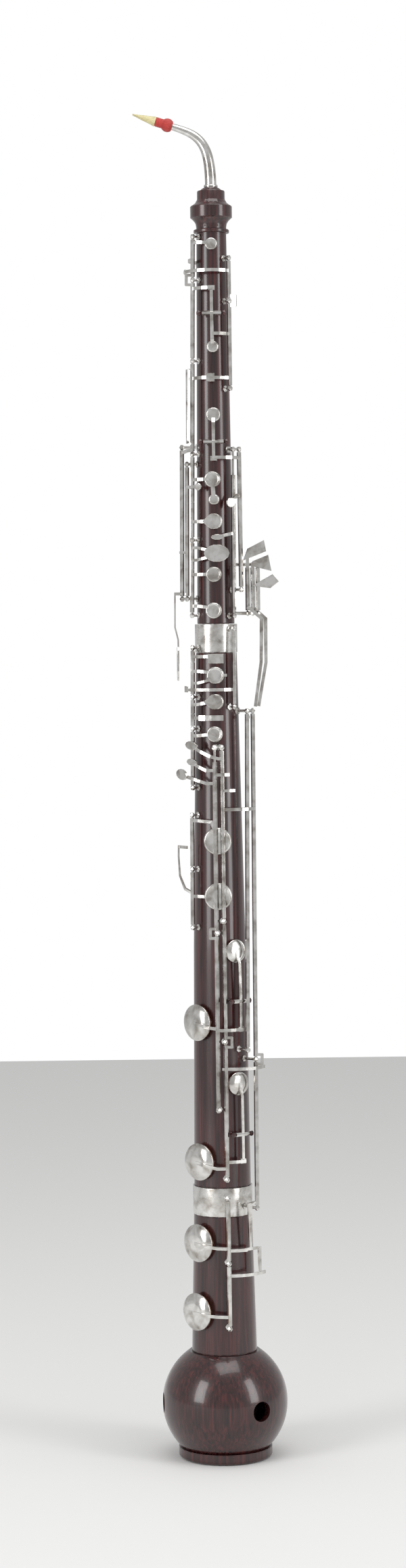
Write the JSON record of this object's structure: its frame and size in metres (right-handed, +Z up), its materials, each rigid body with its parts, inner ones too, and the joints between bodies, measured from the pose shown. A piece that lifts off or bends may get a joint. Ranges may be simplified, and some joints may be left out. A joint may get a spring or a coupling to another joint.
{
  "type": "heckelphone",
  "caption": "Double-reed woodwind of dark wood with a bent silver crook, a round vented bulb bell and full hinged silver keywork.",
  "frame": {"origin": "centre of the flat foot under the bell, on the bore's axis", "axes": "+Z up the bore from the foot to the crook, -Y the front with the keys, +X to the right seen from the front"},
  "size_m": [0.1343, 0.121, 1.2916],
  "materials": {
    "wood": "polished dark red-black stain",
    "silver": "polished silver plate",
    "ferrule": "polished silver plate",
    "cane": "scraped cane",
    "thread": "wound thread"
  },
  "bodies": {
    "instrument": {"bell_bulb": "wood", "bell_joint": "wood", "bell_rod": "silver", "bocal": "silver", "bridge_rod": "silver", "centre_rods": "silver", "foot_cap": "wood", "little_finger_rack": "silver", "long_rods": "silver", "lower_ferrule": "ferrule", "lower_joint": "wood", "lower_left_rod": "silver", "middle_ferrule": "ferrule", "outer_left_rods": "silver", "reed_binding": "thread", "reed_cane": "cane", "right_hand_rod": "silver", "side_rods": "silver", "upper_joint": "wood", "upper_left_rod": "silver", "upper_right_rod": "silver"},
    "bell_key_g": {"bell_key_g": "silver"},
    "bell_key_h": {"bell_key_h": "silver"},
    "bridge_lever": {"bridge_lever": "silver"},
    "cup_a_key": {"cup_a_key": "silver"},
    "cup_b_key": {"cup_b_key": "silver"},
    "fork_cups": {"fork_cups": "silver"},
    "lh1_plate": {"lh1_plate": "silver"},
    "lh2_plate": {"lh2_plate": "silver"},
    "lh3_plate": {"lh3_plate": "silver"},
    "link_key": {"link_key": "silver"},
    "little_plate_a": {"little_plate_a": "silver"},
    "little_plate_b": {"little_plate_b": "silver"},
    "little_plate_c": {"little_plate_c": "silver"},
    "low_key_d": {"low_key_d": "silver"},
    "low_key_f": {"low_key_f": "silver"},
    "low_trill_lever": {"low_trill_lever": "silver"},
    "middle_spatula": {"middle_spatula": "silver"},
    "octave_rocker": {"octave_rocker": "silver"},
    "rh1_key": {"rh1_key": "silver"},
    "rh2_key": {"rh2_key": "silver"},
    "rh3_key": {"rh3_key": "silver"},
    "rh_trill_key": {"rh_trill_key": "silver"},
    "rh_upper_plate": {"rh_upper_plate": "silver"},
    "right_lever_inner": {"right_lever_inner": "silver"},
    "right_lever_outer": {"right_lever_outer": "silver"},
    "rocker_c": {"rocker_c": "silver"},
    "rocker_e": {"rocker_e": "silver"},
    "second_octave_lever": {"second_octave_lever": "silver"},
    "side_oval_key": {"side_oval_key": "silver"},
    "side_spatula": {"side_spatula": "silver"},
    "trill_rocker": {"trill_rocker": "silver"},
    "trill_spatula": {"trill_spatula": "silver"},
    "upper_octave_key": {"upper_octave_key": "silver"},
    "upper_pinky_spatula": {"upper_pinky_spatula": "silver"}
  },
  "joints": [
    {"name": "bell_key_g_hinge", "type": "hinge", "parent": "instrument", "child": "bell_key_g", "pos_m": [0.00508, -0.03962, 0.19398], "axis": [-0.0032, 0.0163, 0.9999], "range_deg": [-3.2, 0]},
    {"name": "bell_key_h_hinge", "type": "hinge", "parent": "instrument", "child": "bell_key_h", "pos_m": [0.00508, -0.03962, 0.19398], "axis": [-0.0032, 0.0163, 0.9999], "range_deg": [-3.2, 0]},
    {"name": "bridge_lever_hinge", "type": "hinge", "parent": "instrument", "child": "bridge_lever", "pos_m": [0.01661, -0.0219, 0.76358], "axis": [0.0083, 0.0229, 0.9997], "range_deg": [0, 4], "stiffness_Nm_per_rad": 0.05, "springref_deg": -8.59},
    {"name": "cup_a_key_hinge", "type": "hinge", "parent": "instrument", "child": "cup_a_key", "pos_m": [-0.02529, -0.01788, 0.56895], "axis": [0.0052, 0.0257, 0.9997], "range_deg": [0, 3.5], "stiffness_Nm_per_rad": 0.05, "springref_deg": -8.59},
    {"name": "cup_b_key_hinge", "type": "hinge", "parent": "instrument", "child": "cup_b_key", "pos_m": [-0.02529, -0.01788, 0.56895], "axis": [0.0052, 0.0257, 0.9997], "range_deg": [0, 3.5], "stiffness_Nm_per_rad": 0.05, "springref_deg": -8.59},
    {"name": "fork_cups_hinge", "type": "hinge", "parent": "instrument", "child": "fork_cups", "pos_m": [-0.02024, -0.01153, 0.99371], "axis": [0.0136, -0.0042, 0.9999], "range_deg": [0, 4.5]},
    {"name": "lh1_plate_hinge", "type": "hinge", "parent": "instrument", "child": "lh1_plate", "pos_m": [-0.02024, -0.01153, 0.99371], "axis": [0.0136, -0.0042, 0.9999], "range_deg": [0, 4.5], "stiffness_Nm_per_rad": 0.05, "springref_deg": -8.59},
    {"name": "lh2_plate_hinge", "type": "hinge", "parent": "instrument", "child": "lh2_plate", "pos_m": [-0.02024, -0.01153, 0.99371], "axis": [0.0136, -0.0042, 0.9999], "range_deg": [0, 4.5], "stiffness_Nm_per_rad": 0.05, "springref_deg": -8.59},
    {"name": "lh3_plate_hinge", "type": "hinge", "parent": "instrument", "child": "lh3_plate", "pos_m": [-0.02024, -0.01153, 0.99371], "axis": [0.0136, -0.0042, 0.9999], "range_deg": [0, 4.5], "stiffness_Nm_per_rad": 0.05, "springref_deg": -8.59},
    {"name": "link_key_hinge", "type": "hinge", "parent": "instrument", "child": "link_key", "pos_m": [-0.02024, -0.01153, 0.99371], "axis": [0.0136, -0.0042, 0.9999], "range_deg": [0, 3], "stiffness_Nm_per_rad": 0.05, "springref_deg": -8.59},
    {"name": "little_plate_a_hinge", "type": "hinge", "parent": "instrument", "child": "little_plate_a", "pos_m": [0.03063, -0.0054, 0.83856], "axis": [0, 0, 1], "range_deg": [0, 5], "stiffness_Nm_per_rad": 0.05, "springref_deg": -8.59},
    {"name": "little_plate_b_hinge", "type": "hinge", "parent": "instrument", "child": "little_plate_b", "pos_m": [0.03556, -0.00627, 0.83856], "axis": [0, 0, 1], "range_deg": [0, 5], "stiffness_Nm_per_rad": 0.05, "springref_deg": -8.59},
    {"name": "little_plate_c_hinge", "type": "hinge", "parent": "instrument", "child": "little_plate_c", "pos_m": [0.04048, -0.00714, 0.83856], "axis": [0, 0, 1], "range_deg": [0, 5], "stiffness_Nm_per_rad": 0.05, "springref_deg": -8.59},
    {"name": "low_key_d_hinge", "type": "hinge", "parent": "instrument", "child": "low_key_d", "pos_m": [-0.00306, -0.03409, 0.51427], "axis": [0.0001, 0.0151, 0.9999], "range_deg": [-3.2, 0], "stiffness_Nm_per_rad": 0.05, "springref_deg": 8.59},
    {"name": "low_key_f_hinge", "type": "hinge", "parent": "instrument", "child": "low_key_f", "pos_m": [0.00411, -0.03432, 0.4809], "axis": [-0.0013, 0.0142, 0.9999], "range_deg": [-3.2, 0]},
    {"name": "low_trill_lever_hinge", "type": "hinge", "parent": "instrument", "child": "low_trill_lever", "pos_m": [-0.02663, -0.00664, 0.89392], "axis": [0.0094, 0.0024, 1], "range_deg": [-4, 0], "stiffness_Nm_per_rad": 0.05, "springref_deg": 8.59},
    {"name": "middle_spatula_hinge", "type": "hinge", "parent": "instrument", "child": "middle_spatula", "pos_m": [-0.00306, -0.03409, 0.51427], "axis": [0.0001, 0.0151, 0.9999], "range_deg": [-3.2, 0], "stiffness_Nm_per_rad": 0.05, "springref_deg": 8.59},
    {"name": "octave_rocker_hinge", "type": "hinge", "parent": "instrument", "child": "octave_rocker", "pos_m": [-0.00078, -0.02232, 1.10036], "axis": [0.9994, -0.0349, 0], "range_deg": [-3, 0]},
    {"name": "rh1_key_hinge", "type": "hinge", "parent": "instrument", "child": "rh1_key", "pos_m": [-0.02324, -0.01603, 0.71597], "axis": [0.0112, 0.0162, 0.9998], "range_deg": [0, 4.5], "stiffness_Nm_per_rad": 0.05, "springref_deg": -8.59},
    {"name": "rh2_key_hinge", "type": "hinge", "parent": "instrument", "child": "rh2_key", "pos_m": [-0.02324, -0.01603, 0.71597], "axis": [0.0112, 0.0162, 0.9998], "range_deg": [0, 4.5], "stiffness_Nm_per_rad": 0.05, "springref_deg": -8.59},
    {"name": "rh3_key_hinge", "type": "hinge", "parent": "instrument", "child": "rh3_key", "pos_m": [-0.02324, -0.01603, 0.71597], "axis": [0.0112, 0.0162, 0.9998], "range_deg": [0, 4.5], "stiffness_Nm_per_rad": 0.05, "springref_deg": -8.59},
    {"name": "rh_trill_key_hinge", "type": "hinge", "parent": "instrument", "child": "rh_trill_key", "pos_m": [-0.02324, -0.01603, 0.71597], "axis": [0.0112, 0.0162, 0.9998], "range_deg": [0, 3.5], "stiffness_Nm_per_rad": 0.05, "springref_deg": -8.59},
    {"name": "rh_upper_plate_hinge", "type": "hinge", "parent": "instrument", "child": "rh_upper_plate", "pos_m": [-0.02324, -0.01603, 0.71597], "axis": [0.0112, 0.0162, 0.9998], "range_deg": [0, 3.6]},
    {"name": "right_lever_inner_hinge", "type": "hinge", "parent": "instrument", "child": "right_lever_inner", "pos_m": [0.02698, -0.02336, 0.55996], "axis": [0.0096, 0.0461, 0.9989], "range_deg": [0, 4]},
    {"name": "right_lever_outer_hinge", "type": "hinge", "parent": "instrument", "child": "right_lever_outer", "pos_m": [0.03338, -0.01822, 0.48394], "axis": [0.0032, 0.0512, 0.9987], "range_deg": [0, 4]},
    {"name": "rocker_c_hinge", "type": "hinge", "parent": "instrument", "child": "rocker_c", "pos_m": [0.01873, -0.02777, 0.44471], "axis": [0.829, 0.5592, 0], "range_deg": [0, 3.2]},
    {"name": "rocker_e_hinge", "type": "hinge", "parent": "instrument", "child": "rocker_e", "pos_m": [0.01945, -0.02883, 0.31687], "axis": [0.829, 0.5592, 0], "range_deg": [0, 3.2]},
    {"name": "second_octave_lever_hinge", "type": "hinge", "parent": "instrument", "child": "second_octave_lever", "pos_m": [0.01597, -0.01574, 1.0911], "axis": [-0.0009, 0.0129, 0.9999], "range_deg": [0, 4], "stiffness_Nm_per_rad": 0.05, "springref_deg": -8.59},
    {"name": "side_oval_key_hinge", "type": "hinge", "parent": "instrument", "child": "side_oval_key", "pos_m": [-0.03134, -0.0011, 0.90207], "axis": [0.0097, 0.0003, 1], "range_deg": [-4, 0], "stiffness_Nm_per_rad": 0.05, "springref_deg": 8.59},
    {"name": "side_spatula_hinge", "type": "hinge", "parent": "instrument", "child": "side_spatula", "pos_m": [0.01762, -0.01677, 0.89225], "axis": [0.004, 0.0183, 0.9998], "range_deg": [-4, 0], "stiffness_Nm_per_rad": 0.05, "springref_deg": 8.59},
    {"name": "trill_rocker_hinge", "type": "hinge", "parent": "instrument", "child": "trill_rocker", "pos_m": [-0.00041, -0.02352, 0.97853], "axis": [0.9998, -0.0175, 0], "range_deg": [0, 4]},
    {"name": "trill_spatula_hinge", "type": "hinge", "parent": "instrument", "child": "trill_spatula", "pos_m": [0.0241, -0.01584, 0.90466], "axis": [-0.0052, 0.0097, 0.9999], "range_deg": [-4, 0], "stiffness_Nm_per_rad": 0.05, "springref_deg": 8.59},
    {"name": "upper_octave_key_hinge", "type": "hinge", "parent": "instrument", "child": "upper_octave_key", "pos_m": [-0.02024, -0.01153, 0.99371], "axis": [0.0136, -0.0042, 0.9999], "range_deg": [-5, 0], "stiffness_Nm_per_rad": 0.05, "springref_deg": 8.59},
    {"name": "upper_pinky_spatula_hinge", "type": "hinge", "parent": "instrument", "child": "upper_pinky_spatula", "pos_m": [0.00411, -0.03432, 0.4809], "axis": [-0.0013, 0.0142, 0.9999], "range_deg": [-3.2, 0], "stiffness_Nm_per_rad": 0.05, "springref_deg": 8.59}
  ],
  "couplings": [
    {"joint": "octave_rocker_hinge", "follows": "second_octave_lever_hinge", "ratio": -0.75},
    {"joint": "trill_rocker_hinge", "follows": "trill_spatula_hinge", "ratio": -1},
    {"joint": "fork_cups_hinge", "follows": "lh3_plate_hinge", "ratio": 1},
    {"joint": "rh_upper_plate_hinge", "follows": "rh1_key_hinge", "ratio": 0.8},
    {"joint": "rocker_c_hinge", "follows": "low_key_d_hinge", "ratio": -1},
    {"joint": "low_key_f_hinge", "follows": "upper_pinky_spatula_hinge", "ratio": 1},
    {"joint": "rocker_e_hinge", "follows": "upper_pinky_spatula_hinge", "ratio": -1},
    {"joint": "right_lever_inner_hinge", "follows": "little_plate_a_hinge", "ratio": 0.8},
    {"joint": "right_lever_outer_hinge", "follows": "little_plate_b_hinge", "ratio": 0.8},
    {"joint": "bell_key_g_hinge", "follows": "little_plate_b_hinge", "ratio": -0.64},
    {"joint": "bell_key_h_hinge", "follows": "little_plate_b_hinge", "ratio": -0.64}
  ]
}
